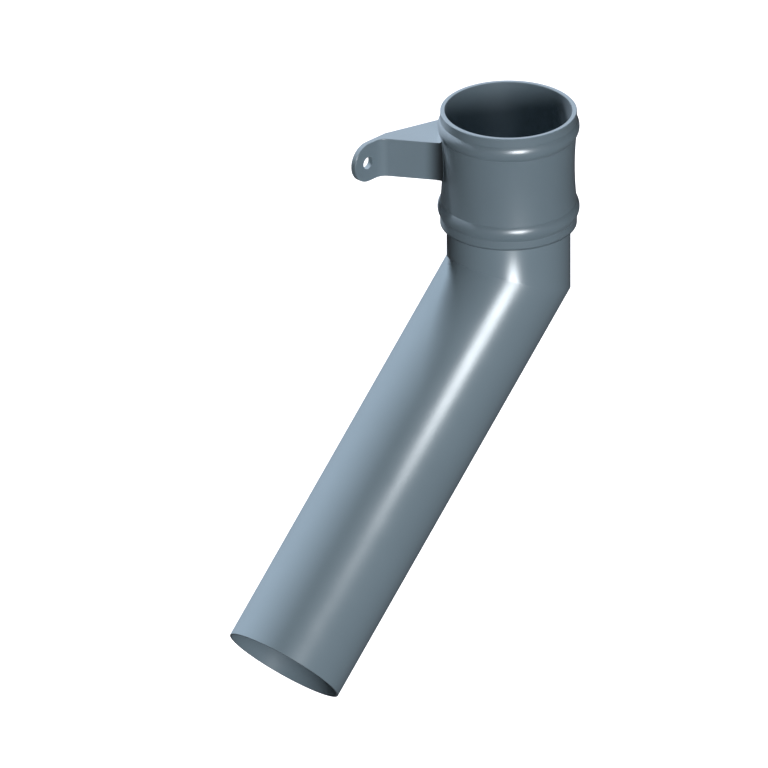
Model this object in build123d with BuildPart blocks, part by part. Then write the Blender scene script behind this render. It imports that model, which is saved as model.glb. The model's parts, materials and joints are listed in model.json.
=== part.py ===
# Long tail downpipe elbow: a cast socket collar with one wall ear, bonded over a bend
# that is fabricated from two lengths of thin round tube, mitred and welded together.
#
# Frame: the origin is the centre of the socket's mouth, +Z points up along the axis of
# the socket, the tail falls away towards -X, and the wall lies on the +Y side.

import os
from math import cos, radians, sin, sqrt

from build123d import *

# Tube of both legs
pipe_diameter = 76.0
pipe_wall = 1.2

# Bend: the centre lines cross leg_drop below the collar
bend_angle = 45.0
leg_drop = 33.9
tail_length = 281.3

# Collar: a straight lip at each end and a waisted body between the two beads
collar_height = 75.6
collar_grip = 15.6
socket_clearance = 1.0
rim_wall = 3.0
rim_edge = 0.4
waist_wall = 1.7
waist_flare = 1.65

# Beads
bead_inset = 10.6
bead_proud = 1.6
bead_radius = 7.6

# Wall ear: a flat plate with one hole, whose outer end is round
ear_hole = 7.8
ear_hole_out = 28.5
ear_tip_out = 11.3
ear_drop = 31.6
ear_height = 25.4
ear_thickness = 3.5
ear_edge = 0.6
wall_gap = 21.0

# Arm that carries the plate: a wedge in plan, with angles measured from the wall
arm_bend_out = 16.7
arm_bend_radius = 8.0
arm_front_angle = 57.3
arm_rear_angle = 16.0
arm_roll_radius = 20.0
arm_roll_angle = 60.0
root_fillet = 2.0
root_sink = 0.3

pipe_radius = pipe_diameter / 2
pipe_bore_radius = pipe_radius - pipe_wall
socket_radius = pipe_radius + socket_clearance
socket_depth = collar_height - collar_grip
rim_radius = socket_radius + rim_wall
waist_radius = socket_radius + waist_wall
flare_radius = waist_radius + waist_flare
bead_tip_radius = rim_radius + bead_proud

upper_bead_height = -bead_inset
lower_bead_height = bead_inset - collar_height
waist_height = -collar_height / 2
half_body = waist_height - lower_bead_height
body_arc_radius = (half_body**2 + waist_flare**2) / (2 * waist_flare)

ear_half = ear_height / 2
ear_top = ear_half - ear_drop
ear_foot = -ear_half - ear_drop
wall_distance = pipe_radius + wall_gap
ear_face = wall_distance - ear_thickness
hole_reach = pipe_radius + ear_hole_out
tip_reach = hole_reach + ear_tip_out

bend_point = Vector(0, 0, -collar_height - leg_drop)
tail_run = Vector(-sin(radians(bend_angle)), 0, -cos(radians(bend_angle)))
mitre = Plane(bend_point, x_dir=(0, 1, 0), z_dir=Vector(0, 0, 1) - tail_run)


def body_radius(height):
    """Outer radius of the waisted body at a height between the two beads."""
    rise = height - waist_height
    return waist_radius + body_arc_radius - sqrt(body_arc_radius**2 - rise**2)


# Upper leg: from the stop inside the collar down to the mitre
with BuildPart() as upper_leg:
    with BuildSketch(Plane.XY.offset(-socket_depth)):
        Circle(pipe_radius)
        Circle(pipe_bore_radius, mode=Mode.SUBTRACT)
    extrude(amount=-collar_grip - leg_drop - pipe_radius)
    split(bisect_by=mitre, keep=Keep.TOP)

upper_leg.part.label = "upper_leg"


# Long tail: from its square-cut open end back up to the mitre
with BuildPart() as long_tail:
    with BuildSketch(Plane(bend_point + tail_run * tail_length, x_dir=(0, 1, 0), z_dir=-tail_run)):
        Circle(pipe_radius)
        Circle(pipe_bore_radius, mode=Mode.SUBTRACT)
    extrude(amount=tail_length + pipe_radius)
    split(bisect_by=mitre, keep=Keep.BOTTOM)

long_tail.part.label = "long_tail"


# Plan of the ear: the plate lies along the wall and the arm runs in to the collar, with
# its rear face level with the back of the beads, where it rolls round into the body
front_run = Vector(cos(radians(arm_front_angle)), -sin(radians(arm_front_angle)), 0)
rear_run = Vector(cos(radians(arm_rear_angle)), -sin(radians(arm_rear_angle)), 0)
arm_bend = Vector(-pipe_radius - arm_bend_out, ear_face, 0)
front_foot = arm_bend - front_run * arm_bend.dot(front_run)
rear_foot = Vector(sin(radians(arm_rear_angle)), cos(radians(arm_rear_angle)), 0) * bead_tip_radius
rear_start = rear_foot - rear_run * ((wall_distance - rear_foot.Y) / sin(radians(arm_rear_angle)))
root_radius = (socket_radius + waist_radius) / 2

with BuildSketch(Plane.XY.offset(ear_foot)) as ear_plan:
    with BuildLine():
        Polyline(
            (0, 0),
            front_foot,
            arm_bend,
            (-tip_reach, ear_face),
            (-tip_reach, wall_distance),
            rear_start,
            rear_foot,
        )
        roll = JernArc(rear_foot, rear_run, arm_roll_radius, -arm_roll_angle)
        Line(roll @ 1, (0, 0))
    make_face()
    fillet(ear_plan.vertices().sort_by_distance(arm_bend)[0], arm_bend_radius)
    Circle(root_radius, mode=Mode.SUBTRACT)

# Ear: the plan raised to its height, rounded at its outer end, eased along its front and drilled
with BuildPart() as ear:
    extrude(ear_plan.sketch, amount=ear_height)
    with BuildSketch(Plane.XZ.offset(-wall_distance)):
        with Locations((ear_half - tip_reach, -ear_drop)):
            Circle(ear_half)
            Rectangle(tip_reach + rim_radius, ear_height, align=(Align.MIN, Align.CENTER))
    extrude(amount=wall_distance, mode=Mode.INTERSECT)
    end_arcs = ear.edges().filter_by(GeomType.CIRCLE).group_by(Axis.X)[0]
    fillet(end_arcs.sort_by(Axis.Y)[0], ear_edge)
    with Locations(Plane((-hole_reach, wall_distance, -ear_drop), z_dir=(0, 1, 0))):
        Hole(ear_hole / 2)

# Root of the arm in plan: a fillet sweeps from the arm's front face into the body
front_corner_depth = sqrt((waist_radius - root_sink) ** 2 - front_foot.length**2)
with BuildSketch(Plane.XY.offset(ear_foot - root_fillet)) as root_plan:
    add(ear_plan.sketch)
    Circle(waist_radius - root_sink)
    front_corner = root_plan.vertices().sort_by_distance(front_foot - front_run * front_corner_depth)[0]
    fillet(front_corner, root_fillet)
    Circle(root_radius - root_sink, mode=Mode.SUBTRACT)
    Circle(waist_radius + 2 * root_fillet, mode=Mode.INTERSECT)

# Root of the arm in section: the same fillet runs along the arm's top and under its foot
with BuildPart() as arm_root:
    with BuildSketch(Plane.XZ):
        with Locations((root_radius, ear_foot)):
            Rectangle(2 * root_fillet + root_radius - socket_radius, ear_height, align=Align.MIN)
        for face, away, side in ((ear_top, root_fillet, Align.MIN), (ear_foot, -root_fillet, Align.MAX)):
            fillet_end = body_radius(face + away) + root_fillet
            with Locations((root_radius, face)):
                Rectangle(fillet_end - root_radius, root_fillet, align=(Align.MIN, side))
            with Locations((fillet_end, face + away)):
                Circle(root_fillet, mode=Mode.SUBTRACT)
    revolve(axis=Axis.Z)
    extrude(root_plan.sketch, amount=ear_height + 2 * root_fillet, mode=Mode.INTERSECT)


# Collar: the turned outline with its beads, bored for the socket and for the upper leg
with BuildPart() as eared_collar:
    with BuildSketch(Plane.XZ):
        with BuildLine():
            ThreePointArc(
                (flare_radius, upper_bead_height),
                (waist_radius, waist_height),
                (flare_radius, lower_bead_height),
            )
            Polyline(
                (flare_radius, lower_bead_height),
                (rim_radius, lower_bead_height),
                (rim_radius, -collar_height),
                (0, -collar_height),
                (0, 0),
                (rim_radius, 0),
                (rim_radius, upper_bead_height),
                (flare_radius, upper_bead_height),
            )
        make_face()
        bead_centre = bead_tip_radius - bead_radius
        with Locations((bead_centre, upper_bead_height), (bead_centre, lower_bead_height)):
            Circle(bead_radius)
        Rectangle(pipe_radius, collar_height, align=(Align.MIN, Align.MAX), mode=Mode.SUBTRACT)
        Rectangle(socket_radius, socket_depth, align=(Align.MIN, Align.MAX), mode=Mode.SUBTRACT)
    revolve(axis=Axis.Z)
    mouth_edges = eared_collar.edges().group_by(Axis.Z)[-1]
    chamfer(mouth_edges, rim_edge)
    add(ear.part)
    add(arm_root.part)

eared_collar.part.label = "eared_collar"


os.makedirs("parts", exist_ok=True)
export_step(eared_collar.part, "parts/eared_collar.step")
export_step(upper_leg.part, "parts/upper_leg.step")
export_step(long_tail.part, "parts/long_tail.step")
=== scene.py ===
"""Long tail downpipe elbow: the powder coat on its cast collar and two tubes, and the stage around it."""

import json
from math import cos, pi, radians, sin

import bpy
from bpy.props import FloatProperty, FloatVectorProperty, PointerProperty
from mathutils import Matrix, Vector


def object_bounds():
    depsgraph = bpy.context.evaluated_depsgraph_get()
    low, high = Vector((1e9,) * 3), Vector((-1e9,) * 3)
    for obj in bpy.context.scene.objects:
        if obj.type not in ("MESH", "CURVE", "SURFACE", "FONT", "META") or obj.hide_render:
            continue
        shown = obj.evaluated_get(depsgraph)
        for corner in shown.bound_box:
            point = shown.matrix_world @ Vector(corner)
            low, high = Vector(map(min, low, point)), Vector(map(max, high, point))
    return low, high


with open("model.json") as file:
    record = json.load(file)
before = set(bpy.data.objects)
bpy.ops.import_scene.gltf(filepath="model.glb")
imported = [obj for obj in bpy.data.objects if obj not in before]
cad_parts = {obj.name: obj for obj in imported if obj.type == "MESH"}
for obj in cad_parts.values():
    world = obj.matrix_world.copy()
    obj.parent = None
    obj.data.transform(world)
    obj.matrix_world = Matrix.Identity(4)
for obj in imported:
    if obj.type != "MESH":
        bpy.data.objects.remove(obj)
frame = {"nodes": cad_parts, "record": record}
cad_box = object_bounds()

bl_info = {
    "name": "Long tail downpipe elbow",
    "version": (1, 0, 0),
    "blender": (4, 5, 0),
    "location": "View3D > Sidebar > Downpipe",
    "description": "Coats a downpipe elbow's cast collar and mitred tubes, and lights it on a plain stage",
    "category": "Object",
}

# Pieces of the elbow, and the mounts and the coat's colour that its record gives
collar = frame["nodes"]["eared_collar"]
upper_leg = frame["nodes"]["upper_leg"]
long_tail = frame["nodes"]["long_tail"]
mounts = {mount["name"]: mount for mount in frame["record"]["mounts"]}
COAT_COLOUR = frame["record"]["materials"][0]["base_color"]

EAST = Vector((1.0, 0.0, 0.0))
NORTH = Vector((0.0, 1.0, 0.0))
UP = Vector((0.0, 0.0, 1.0))

# Tubes: the tail's centre line runs up from its open end to the bend, straight below the socket
TUBE_RADIUS = mounts["tail_spigot"]["dims"]["r_mm"] / 1000
TUBE_WALL = 0.0012
TUBE_BORE_RADIUS = TUBE_RADIUS - TUBE_WALL
TAIL_END = Vector(mounts["tail_spigot"]["pos_m"])
TAIL_RUN = Vector(mounts["tail_spigot"]["axis"])
TAIL_UPPER_SIDE = NORTH.cross(TAIL_RUN)
BEND = TAIL_END - TAIL_END.x / TAIL_RUN.x * TAIL_RUN

# Collar: its socket, its foot and the waist of its body, which flares on its way to each bead
SOCKET_RADIUS = mounts["socket"]["dims"]["r_mm"] / 1000
FOOT_HEIGHT = -0.0756
FOOT_SLOPE = 1.4
WAIST_HEIGHT = FOOT_HEIGHT / 2
WAIST_RADIUS = 0.0407
WAIST_FLARE = 0.00165
HALF_BODY = 0.0272

# Front face of the ear's arm: its angle from the wall and its distance from the socket's axis
ARM_FRONT_ANGLE = radians(57.3)
ARM_FRONT_FACING = Vector((-sin(ARM_FRONT_ANGLE), -cos(ARM_FRONT_ANGLE), 0.0))
ARM_FRONT_DEPTH = 0.0160

# Edges of the shade painted into the colour at the arm's root, each from where it starts to where it is
# full: below the arm, above it, on its front face, on the collar's body and out along the arm
ROOT_SHADE_FOOT = (-0.0475, -0.0465)
ROOT_SHADE_TOP = (-0.0175, -0.0180)
ROOT_SHADE_FACE = (ARM_FRONT_DEPTH - 0.0004, ARM_FRONT_DEPTH - 0.0001)
ROOT_SHADE_BODY = (0.0001, 0.0004)
ROOT_SHADE_REACH = (0.0530, 0.0410)

# Shade painted inside a bore: it ends within its wall, and the tubes have less of it than the socket
BORE_SHADE_EDGE = (0.0005, 0.0001)
TUBE_BORE_SHADE_SHARE = 0.75

# Streak over the bend: where it is brightest on each tube
LEG_STREAK_TURN = radians(41.65)
LEG_STREAK_HEIGHT = -0.1030
TAIL_STREAK_TURN = radians(49)
TAIL_STREAK_BELOW_BEND = 0.0250

# Lamps: their colours, and the powers of some as shares of the key or of the fill
KEY_COLOUR = (0.98, 1.0, 1.04)
FILL_COLOUR = (1.0, 1.0, 1.08)
COLLAR_FILL_COLOUR = (1.05, 1.0, 1.06)
STREAK_COLOUR = (0.96, 1.0, 1.03)
GLINT_SHARE = 1.7
COLLAR_KEY_SHARE = 1.15
TUBE_FILL_SHARE = 1.7
HIGH_FILL_SHARE = 0.44
BOUNCE_SHARE = 0.18

# Surroundings: how strongly the gloss shows them, their even light on the pieces, and the floor
GLIMPSE = 0.02
EVEN_LIGHT = 0.03
WHITE = (1.0, 1.0, 1.0, 1.0)
CAMERA_DISTANCE = 1.0
FLOOR_WIDTH = 30.0
FLOOR_DULL = (0.01, 0.01, 0.01, 1.0)
FLOOR_PALE = (0.3, 0.3, 0.3, 1.0)
FLOOR_GLOW = 0.7


class Field:
    """A number that changes over a surface. An expression on fields adds its Math nodes."""

    def __init__(self, finish, socket):
        self.finish = finish
        self.socket = socket

    def math(self, operation, *values):
        """A Math node on these values, fields or numbers."""
        sockets = {place: value for place, value in enumerate(values)}
        node = self.finish.node("ShaderNodeMath", {"operation": operation}, sockets)
        return Field(self.finish, node.outputs[0])

    def __add__(self, other):
        return self.math("ADD", self, other)

    def __radd__(self, other):
        return self.math("ADD", other, self)

    def __sub__(self, other):
        return self.math("SUBTRACT", self, other)

    def __rsub__(self, other):
        return self.math("SUBTRACT", other, self)

    def __mul__(self, other):
        return self.math("MULTIPLY", self, other)

    def __rmul__(self, other):
        return self.math("MULTIPLY", other, self)

    def root(self):
        """Its square root."""
        return self.math("SQRT", self)

    def above(self, least):
        """The number itself, or least where it is lower."""
        return self.math("MAXIMUM", self, least)

    def fade(self, start, end):
        """0 before start, 1 past end and a soft step between them. The end may come before the start."""
        low, high = min(start, end), max(start, end)
        step = self.finish.field(
            "ShaderNodeMapRange",
            "Result",
            {"interpolation_type": "SMOOTHSTEP"},
            {"Value": self, "From Min": low, "From Max": high},
        )
        return step if start < end else 1 - step


class Finish:
    """A node tree of a material or of the world, emptied and filled node by node."""

    def __init__(self, owner):
        owner.use_nodes = True
        self.tree = owner.node_tree
        self.tree.nodes.clear()

    def node(self, kind, settings=None, sockets=None):
        """Adds a node: its settings come first, then the values or the links of its sockets."""
        node = self.tree.nodes.new(kind)
        for name, setting in (settings or {}).items():
            setattr(node, name, setting)
        for name, value in (sockets or {}).items():
            socket = node.inputs[name]
            if isinstance(value, Field):
                self.tree.links.new(value.socket, socket)
            elif isinstance(value, bpy.types.NodeSocket):
                self.tree.links.new(value, socket)
            else:
                socket.default_value = value
        return node

    def field(self, kind, output, settings=None, sockets=None):
        """Adds a node and gives one of its outputs as a field."""
        return Field(self, self.node(kind, settings, sockets).outputs[output])

    def noise(self, place, grain, detail=2.0):
        """Noise whose features are about one grain wide, in metres, from 0 to 1 around a half."""
        sockets = {"Vector": place, "Scale": 1 / grain, "Detail": detail, "Roughness": 0.5}
        return self.field("ShaderNodeTexNoise", "Fac", {"noise_dimensions": "3D"}, sockets)

    def along(self, place, direction):
        """Distance of the place from the origin along a direction."""
        sockets = {0: place, 1: tuple(direction)}
        return self.field("ShaderNodeVectorMath", "Value", {"operation": "DOT_PRODUCT"}, sockets)

    def from_line(self, place, point, side, other_side):
        """Distance of the place from a line through a point, by two directions square to the line."""
        first = self.along(place, side) - side.dot(point)
        second = self.along(place, other_side) - other_side.dot(point)
        return (first * first + second * second).root()


class ElbowCoat(bpy.types.PropertyGroup):
    """The powder coat on the casting and the tubes."""

    colour: FloatVectorProperty(
        name="Colour",
        description="Colour of the powder coat",
        subtype="COLOR",
        size=3,
        min=0.0,
        max=1.0,
        default=COAT_COLOUR,
    )
    gloss_roughness: FloatProperty(
        name="Roughness",
        description="Roughness of the satin coat",
        subtype="FACTOR",
        min=0.0,
        max=1.0,
        default=0.3,
    )
    roughness_spread: FloatProperty(
        name="Roughness spread",
        description="Difference in roughness between the smoothest and the roughest clouds of the coat",
        subtype="FACTOR",
        min=0.0,
        max=1.0,
        default=0.08,
    )
    peel_width: FloatProperty(
        name="Peel width",
        description="Width of the ripples that the coat cures with",
        subtype="DISTANCE",
        unit="LENGTH",
        default=0.0012,
    )
    peel_depth: FloatProperty(
        name="Peel depth",
        description="Depth of the ripples that the coat cures with",
        subtype="DISTANCE",
        unit="LENGTH",
        default=0.000004,
    )
    cast_grain: FloatProperty(
        name="Cast grain",
        description="Width of the casting's grain, which shows softly through the coat",
        subtype="DISTANCE",
        unit="LENGTH",
        default=0.0035,
    )
    cast_depth: FloatProperty(
        name="Cast depth",
        description="Depth of the casting's grain under the coat",
        subtype="DISTANCE",
        unit="LENGTH",
        default=0.000012,
    )
    foot_roll: FloatProperty(
        name="Foot roll",
        description="Height over which the coat rolls round the lower edge of the collar",
        subtype="DISTANCE",
        unit="LENGTH",
        default=0.0014,
    )
    # How dark the shade painted into the corner between the arm and the collar is
    root_painted_shade: FloatProperty(
        name="Root dirt",
        description="How dark the dirt is in the corner between the arm and the collar",
        subtype="FACTOR",
        min=0.0,
        max=1.0,
        default=0.95,
    )
    # How dark the shade painted inside the socket is; the tubes have a share of it
    bore_painted_shade: FloatProperty(
        name="Bore painted shade",
        description="How dark the shade painted inside the socket is",
        subtype="FACTOR",
        min=0.0,
        max=1.0,
        default=0.22,
    )
    cloud_width: FloatProperty(
        name="Cloud width",
        description="Width of the faint clouds in the coat's colour",
        subtype="DISTANCE",
        unit="LENGTH",
        default=0.045,
    )
    cloud_strength: FloatProperty(
        name="Cloud strength",
        description="How far the clouds lighten and darken the colour",
        subtype="FACTOR",
        min=0.0,
        max=1.0,
        default=0.05,
    )


class ElbowStage(bpy.types.PropertyGroup):
    """The camera, the lamps and the floor."""

    view_turn: FloatProperty(
        name="View turn",
        description="Turn of the camera from the front towards the tail's side",
        subtype="ANGLE",
        unit="ROTATION",
        default=radians(46.25),
    )
    view_rise: FloatProperty(
        name="View rise",
        description="Rise of the camera above level",
        subtype="ANGLE",
        unit="ROTATION",
        default=radians(25.75),
    )
    view_width: FloatProperty(
        name="View width",
        description="Width of the parallel view",
        subtype="DISTANCE",
        unit="LENGTH",
        default=0.47036,
    )
    view_centre: FloatVectorProperty(
        name="View centre",
        description="Point at the middle of the picture",
        subtype="XYZ",
        unit="LENGTH",
        size=3,
        default=(-0.10546, 0.00464, -0.15125),
    )
    key_power: FloatProperty(
        name="Key",
        description="Strength of the key in front, as the tubes have it",
        default=3.14,
    )
    fill_power: FloatProperty(
        name="Fill",
        description="Strength of the fill above and behind, as the collar has it",
        default=7.2,
    )
    back_power: FloatProperty(
        name="Back fill",
        description="Strength of the lamps that face the camera, for the sides and the underside behind",
        default=1.8,
    )
    streak_power: FloatProperty(
        name="Streak",
        description="Strength of the lamps that lie along the bend in the gloss alone",
        default=1.0,
    )
    floor_drop: FloatProperty(
        name="Floor drop",
        description="Distance from the foot of the tail down to the floor, as the part hangs on a wall",
        subtype="DISTANCE",
        unit="LENGTH",
        default=0.6,
    )


def coat_finish(name, coat, relief, painted_shade):
    """The satin powder coat. Relief gives its height at a place, and the last argument how much shade is
    painted into its colour there.
    """
    material = bpy.data.materials.new(name)
    finish = Finish(material)
    place = finish.node("ShaderNodeTexCoord").outputs["Object"]

    cloud = finish.noise(place, coat.cloud_width)
    # Random clouds in the tone, darkened where shade is painted into the colour
    unshaded = 1 - painted_shade(finish, place, coat)
    shade = (1 - coat.cloud_strength + 2 * coat.cloud_strength * cloud) * unshaded
    tone = finish.node(
        "ShaderNodeVectorMath",
        {"operation": "SCALE"},
        {0: tuple(coat.colour), "Scale": shade},
    )
    smoothest = coat.gloss_roughness - coat.roughness_spread / 2
    roughness = smoothest + coat.roughness_spread * finish.noise(place, coat.cloud_width / 3)
    bump = finish.node(
        "ShaderNodeBump",
        {},
        {"Strength": 1.0, "Distance": 1.0, "Height": relief(finish, place, coat)},
    )
    shader = finish.node(
        "ShaderNodeBsdfPrincipled",
        {},
        {
            "Base Color": tone.outputs[0],
            "Roughness": roughness,
            "Specular IOR Level": 0.5,
            "Normal": bump.outputs[0],
        },
    )
    finish.node("ShaderNodeOutputMaterial", {}, {"Surface": shader.outputs[0]})
    return material


def tube_relief(finish, place, coat):
    """Height of the coat on drawn tube: nothing but the ripples that it cures with."""
    return coat.peel_depth * finish.noise(place, coat.peel_width)


def cast_relief(finish, place, coat):
    """Height of the coat on the casting: its ripples and soft grain, rolled over the edge of the foot."""
    ripples = coat.peel_depth * finish.noise(place, coat.peel_width)
    grain = coat.cast_depth * finish.noise(place, coat.cast_grain, detail=4.0)
    below = (FOOT_HEIGHT + coat.foot_roll - finish.along(place, UP)).above(0.0)
    return ripples + grain - FOOT_SLOPE / (2 * coat.foot_roll) * below * below


def within(out, radius):
    """1 on a bore of this radius, falling to 0 within its wall, by the distance from its axis."""
    outside, inside = BORE_SHADE_EDGE
    return out.fade(radius + outside, radius + inside)


def leg_bore_shade(finish, place, coat):
    """Shade painted into the colour inside the upper leg's bore."""
    out = finish.from_line(place, BEND, EAST, NORTH)
    return TUBE_BORE_SHADE_SHARE * coat.bore_painted_shade * within(out, TUBE_BORE_RADIUS)


def tail_bore_shade(finish, place, coat):
    """Shade painted into the colour inside the tail's bore."""
    out = finish.from_line(place, BEND, TAIL_UPPER_SIDE, NORTH)
    return TUBE_BORE_SHADE_SHARE * coat.bore_painted_shade * within(out, TUBE_BORE_RADIUS)


def cast_painted_shade(finish, place, coat):
    """Shade painted into the colour inside the socket's bore, and in the corner between the arm and the
    collar.
    """
    out = finish.from_line(place, BEND, EAST, NORTH)
    height = finish.along(place, UP)
    on_face = finish.along(place, ARM_FRONT_FACING).fade(*ROOT_SHADE_FACE)
    rise = height - WAIST_HEIGHT
    body = WAIST_RADIUS + WAIST_FLARE / HALF_BODY**2 * rise * rise
    beside = on_face * height.fade(*ROOT_SHADE_FOOT) * height.fade(*ROOT_SHADE_TOP)
    # Painted shade in the corner between the arm's front face and the collar
    root = coat.root_painted_shade * beside * (out - body).fade(*ROOT_SHADE_BODY) * out.fade(*ROOT_SHADE_REACH)
    # Painted shade inside the socket's bore
    return root + coat.bore_painted_shade * within(out, SOCKET_RADIUS)


def coat_piece(piece, finish):
    """Gives a piece this finish and no other."""
    piece.data.materials.clear()
    piece.data.materials.append(finish)


def towards(turn, rise):
    """Direction at a turn from the front towards the tail's side, and at a rise above level."""
    return Vector((-sin(turn) * cos(rise), -cos(turn) * cos(rise), sin(rise)))


def aim(thing, direction):
    """Turns a lamp or the camera so that it stands on this side and looks back along it."""
    thing.rotation_euler = direction.to_track_quat("Z", "Y").to_euler()


def add_lamp(name, kind, power, colour):
    """Adds a lamp of this kind and gives its object."""
    data = bpy.data.lights.new(name, kind)
    data.energy = power
    data.color = colour
    lamp = bpy.data.objects.new(name, data)
    bpy.context.scene.collection.objects.link(lamp)
    return lamp


def gathered(name, pieces):
    """A collection that names these pieces for a lamp."""
    group = bpy.data.collections.new(name)
    for piece in pieces:
        group.objects.link(piece)
    return group


def light_alone(lamp, pieces):
    """Lets a lamp light these pieces and no others."""
    lamp.light_linking.receiver_collection = gathered(lamp.name + "_receivers", pieces)


def shade_alone(lamp, pieces):
    """Lets these pieces alone throw shadows in a lamp's light, so that the floor below doesn't."""
    lamp.light_linking.blocker_collection = gathered(lamp.name + "_blockers", pieces)


def add_sun(name, pieces, power, colour, width, direction):
    """Adds a distant lamp, as wide in the sky as this angle, that lights these pieces alone."""
    lamp = add_lamp(name, "SUN", power, colour)
    lamp.data.angle = width
    aim(lamp, direction)
    light_alone(lamp, pieces)
    return lamp


def add_matt_sun(name, pieces, power, colour, width, direction):
    """Adds a distant lamp that lights these pieces alone and that their gloss doesn't show."""
    lamp = add_sun(name, pieces, power, colour, width, direction)
    lamp.visible_glossy = False
    return lamp


def light_tubes(stage, floor):
    """A low key in front of the tubes and a cool fill high behind them. Both light the floor too."""
    add_sun(
        "tube_key",
        [upper_leg, long_tail, floor],
        power=stage.key_power,
        colour=KEY_COLOUR,
        width=radians(23),
        direction=towards(turn=radians(31.3), rise=radians(10.3)),
    )
    add_matt_sun(
        "tube_fill",
        [upper_leg, long_tail, floor],
        power=TUBE_FILL_SHARE * stage.fill_power,
        colour=FILL_COLOUR,
        width=radians(8),
        direction=towards(turn=radians(210), rise=radians(48)),
    )


def light_collar(stage):
    """Two lamps for the collar's key, one of them for its gloss, and two fills and a low bounce behind."""
    glint = add_sun(
        "collar_glint",
        [collar],
        power=GLINT_SHARE * stage.key_power,
        colour=KEY_COLOUR,
        width=radians(23),
        direction=towards(turn=radians(30.3), rise=radians(10.5)),
    )
    glint.visible_diffuse = False
    add_matt_sun(
        "collar_key",
        [collar],
        power=COLLAR_KEY_SHARE * stage.key_power,
        colour=KEY_COLOUR,
        width=radians(26),
        direction=towards(turn=radians(31.3), rise=radians(2.5)),
    )
    add_matt_sun(
        "collar_fill",
        [collar],
        power=stage.fill_power,
        colour=COLLAR_FILL_COLOUR,
        width=radians(5),
        direction=towards(turn=radians(190), rise=radians(36)),
    )
    add_matt_sun(
        "collar_high_fill",
        [collar],
        power=HIGH_FILL_SHARE * stage.fill_power,
        colour=COLLAR_FILL_COLOUR,
        width=radians(4),
        direction=towards(turn=radians(183), rise=radians(60)),
    )
    bounce = add_matt_sun(
        "collar_bounce",
        [collar],
        power=BOUNCE_SHARE * stage.fill_power,
        colour=FILL_COLOUR,
        width=radians(8),
        direction=towards(turn=radians(184), rise=radians(-9)),
    )
    shade_alone(bounce, [collar, upper_leg, long_tail])


def light_far_side(stage, floor, view):
    """Faint lamps that face the camera, for what the camera doesn't see."""
    # Each sun lights either the collar or the tubes with the floor. One that lit any other group lost its
    # light, or another sun's, on some of the pieces in some runs.
    for name, pieces in (("collar_back_fill", [collar]), ("tube_back_fill", [upper_leg, long_tail, floor])):
        back_fill = add_matt_sun(
            name,
            pieces,
            power=stage.back_power,
            colour=FILL_COLOUR,
            width=radians(2),
            direction=-view,
        )
        shade_alone(back_fill, [collar, upper_leg, long_tail])


def mirrored(view, face):
    """Direction that a face with this normal mirrors into the view."""
    return 2 * face.dot(view) * face - view


def add_streak(name, piece, spot, direction, distance, radius, brightness):
    """Adds a round lamp that one piece alone shows, in its gloss, brightest at this spot."""
    power = brightness * 4 * (pi * radius) ** 2
    lamp = add_lamp(name, "POINT", power, STREAK_COLOUR)
    lamp.data.shadow_soft_size = radius
    lamp.location = spot + distance * direction
    lamp.visible_diffuse = False
    lamp.visible_camera = False
    light_alone(lamp, [piece])


def add_streaks(stage, view):
    """Adds the lamps that show as the streak over the bend: one close to the leg, one off the tail."""
    leg_face = towards(LEG_STREAK_TURN, 0.0)
    add_streak(
        "leg_streak",
        upper_leg,
        TUBE_RADIUS * leg_face + LEG_STREAK_HEIGHT * UP,
        mirrored(view, leg_face),
        distance=0.055,
        radius=0.013,
        brightness=42 * stage.streak_power,
    )
    tail_face = cos(TAIL_STREAK_TURN) * TAIL_UPPER_SIDE - sin(TAIL_STREAK_TURN) * NORTH
    add_streak(
        "tail_streak",
        long_tail,
        BEND + TAIL_STREAK_BELOW_BEND * TAIL_RUN + TUBE_RADIUS * tail_face,
        mirrored(view, tail_face),
        distance=0.5,
        radius=0.1,
        brightness=33 * stage.streak_power,
    )


def seen_directly(finish):
    """1 for what the camera or a clear thing sees, little for a reflection and 0 for bounced light."""
    path = finish.node("ShaderNodeLightPath")
    camera, glossy, clear = (
        Field(finish, path.outputs[ray])
        for ray in ("Is Camera Ray", "Is Glossy Ray", "Is Transmission Ray")
    )
    return camera + GLIMPSE * glossy + clear


def surround():
    """Makes the world white where it is seen, with a little even light for the rest."""
    world = bpy.data.worlds.new("studio")
    bpy.context.scene.world = world
    finish = Finish(world)
    strength = EVEN_LIGHT + (1 - EVEN_LIGHT) * seen_directly(finish)
    background = finish.node("ShaderNodeBackground", {}, {"Color": WHITE, "Strength": strength})
    finish.node("ShaderNodeOutputWorld", {}, {"Surface": background.outputs[0]})


def floor_finish():
    """Pale and glowing where it is seen, and else so dull that it throws little light on the elbow."""
    material = bpy.data.materials.new("pale_floor")
    finish = Finish(material)
    seen = seen_directly(finish)
    dull = finish.node("ShaderNodeBsdfDiffuse", {}, {"Color": FLOOR_DULL})
    pale = finish.node("ShaderNodeBsdfDiffuse", {}, {"Color": FLOOR_PALE})
    glow = finish.node("ShaderNodeEmission", {}, {"Strength": FLOOR_GLOW})
    both = finish.node("ShaderNodeAddShader", {}, {0: pale.outputs[0], 1: glow.outputs[0]})
    ground = finish.node("ShaderNodeMixShader", {}, {0: seen, 1: dull.outputs[0], 2: both.outputs[0]})
    finish.node("ShaderNodeOutputMaterial", {}, {"Surface": ground.outputs[0]})
    return material


def lay_floor(stage):
    """Lays the floor well below the tail's foot and gives its object."""
    height = cad_box[0][2] - stage.floor_drop
    bpy.ops.mesh.primitive_plane_add(size=FLOOR_WIDTH, location=(0.0, 0.0, height))
    floor = bpy.context.object
    floor.name = "floor"
    floor.data.materials.append(floor_finish())
    return floor


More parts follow.
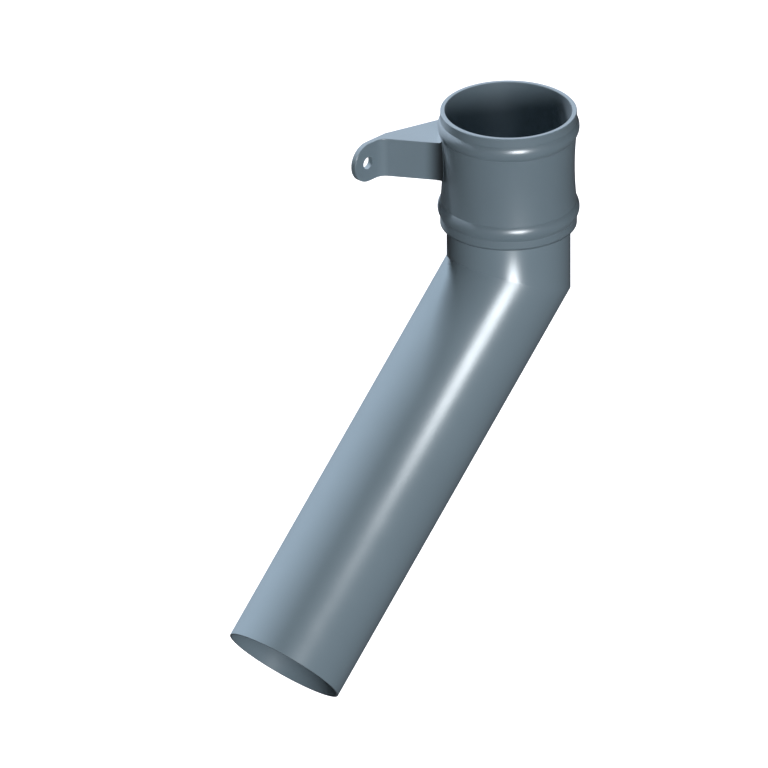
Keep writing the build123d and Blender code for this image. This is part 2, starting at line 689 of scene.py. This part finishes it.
def place_camera(stage, view):
    """Places the parallel camera on this side of the elbow."""
    data = bpy.data.cameras.new("camera")
    data.type = "ORTHO"
    data.ortho_scale = stage.view_width
    camera = bpy.data.objects.new("camera", data)
    camera.location = Vector(stage.view_centre) + CAMERA_DISTANCE * view
    aim(camera, view)
    bpy.context.scene.collection.objects.link(camera)
    bpy.context.scene.camera = camera


class DOWNPIPE_OT_coat_collar(bpy.types.Operator):
    """Coat the cast collar with its wall ear"""

    bl_idname = "downpipe.coat_collar"
    bl_label = "Coat collar"

    def execute(self, context):
        coat = context.scene.elbow_coat
        coat_piece(collar, coat_finish("cast_powder_coat", coat, cast_relief, cast_painted_shade))
        return {"FINISHED"}


class DOWNPIPE_OT_coat_tubes(bpy.types.Operator):
    """Coat the upper leg and the long tail"""

    bl_idname = "downpipe.coat_tubes"
    bl_label = "Coat tubes"

    def execute(self, context):
        coat = context.scene.elbow_coat
        coat_piece(upper_leg, coat_finish("upper_leg_powder_coat", coat, tube_relief, leg_bore_shade))
        coat_piece(long_tail, coat_finish("long_tail_powder_coat", coat, tube_relief, tail_bore_shade))
        return {"FINISHED"}


class DOWNPIPE_OT_set_stage(bpy.types.Operator):
    """Set the floor, the lamps and the camera"""

    bl_idname = "downpipe.set_stage"
    bl_label = "Set stage"

    def execute(self, context):
        stage = context.scene.elbow_stage
        view = towards(stage.view_turn, stage.view_rise)
        place_camera(stage, view)
        context.scene.view_settings.view_transform = "Standard"
        floor = lay_floor(stage)
        surround()
        light_tubes(stage, floor)
        light_collar(stage)
        light_far_side(stage, floor, view)
        add_streaks(stage, view)
        return {"FINISHED"}


class DOWNPIPE_PT_elbow(bpy.types.Panel):
    """Lists the elbow's steps and settings"""

    bl_idname = "DOWNPIPE_PT_elbow"
    bl_label = "Downpipe elbow"
    bl_space_type = "VIEW_3D"
    bl_region_type = "UI"
    bl_category = "Downpipe"

    def draw(self, context):
        for operator in OPERATORS:
            self.layout.operator(operator.bl_idname)
        for group in (context.scene.elbow_coat, context.scene.elbow_stage):
            box = self.layout.box()
            for name in group.bl_rna.properties.keys():
                if name not in ("rna_type", "name"):
                    box.prop(group, name)


OPERATORS = (DOWNPIPE_OT_coat_collar, DOWNPIPE_OT_coat_tubes, DOWNPIPE_OT_set_stage)
CLASSES = (ElbowCoat, ElbowStage, *OPERATORS, DOWNPIPE_PT_elbow)


def register():
    """Registers the classes and hangs both groups of settings on the scene."""
    for kind in CLASSES:
        bpy.utils.register_class(kind)
    bpy.types.Scene.elbow_coat = PointerProperty(type=ElbowCoat)
    bpy.types.Scene.elbow_stage = PointerProperty(type=ElbowStage)


def unregister():
    """Takes the settings and the classes away again."""
    del bpy.types.Scene.elbow_stage
    del bpy.types.Scene.elbow_coat
    for kind in reversed(CLASSES):
        bpy.utils.unregister_class(kind)


def main():
    """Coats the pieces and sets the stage."""
    register()
    bpy.ops.downpipe.coat_collar()
    bpy.ops.downpipe.coat_tubes()
    bpy.ops.downpipe.set_stage()


if __name__ == "__main__":
    main()
